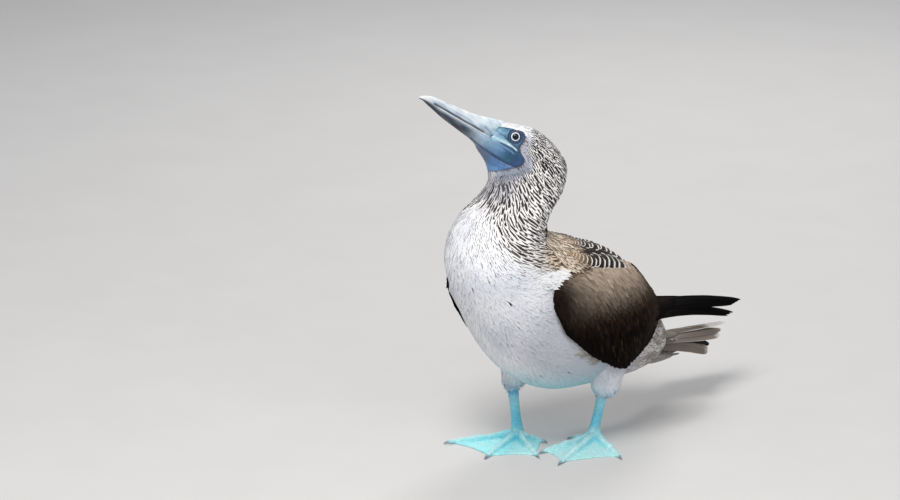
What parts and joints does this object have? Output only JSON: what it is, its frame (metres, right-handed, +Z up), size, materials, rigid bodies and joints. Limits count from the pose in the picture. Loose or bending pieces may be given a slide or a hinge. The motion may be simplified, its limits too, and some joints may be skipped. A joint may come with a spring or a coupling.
{
  "type": "blue-footed booby, standing bird model",
  "caption": "Life-size still model of a standing blue-footed booby, head turned right and bill raised, brown wings folded, webbed blue feet.",
  "frame": {"origin": "middle of the bounding box's footprint, on the floor under the bird", "axes": "+Z up; the bird's body points along -Y, its tail along +Y, its left side is +X; the head is turned about 30 degrees to the bird's right"},
  "size_m": [0.1858, 0.4581, 0.4119],
  "materials": {
    "plumage_white": "soft white breast and belly feathers",
    "plumage_streaked": "brown and cream streaked head and neck feathers",
    "plumage_brown": "dark chocolate brown wing and mantle feathers with a slight sheen",
    "plumage_black": "near-black primary feathers, slight sheen",
    "plumage_tail": "grey-brown tail feathers with pale shafts",
    "skin_blue": "scaly turquoise leg and foot skin, low sheen",
    "horn_bill": "grey-blue horn, smooth satin",
    "horn_claw": "grey horn, satin",
    "eye": "wet pale iris with a black pupil"
  },
  "bodies": {
    "root": {"trunk": "plumage_white", "neck": "plumage_streaked", "head": "plumage_streaked", "bill_upper": "horn_bill", "bill_lower": "horn_bill", "tail": "plumage_tail", "eye_l": "eye", "eye_r": "eye", "scapulars_l": "plumage_brown", "scapulars_r": "plumage_brown", "wing_l": "plumage_brown", "wing_r": "plumage_brown", "primaries_l": "plumage_black", "primaries_r": "plumage_black", "thigh_l": "plumage_white", "thigh_r": "plumage_white", "leg_l": "skin_blue", "leg_r": "skin_blue", "foot_l": "skin_blue", "foot_r": "skin_blue", "claw_l_1": "horn_claw", "claw_l_2": "horn_claw", "claw_l_3": "horn_claw", "claw_l_4": "horn_claw", "claw_r_1": "horn_claw", "claw_r_2": "horn_claw", "claw_r_3": "horn_claw", "claw_r_4": "horn_claw"}
  },
  "joints": []
}
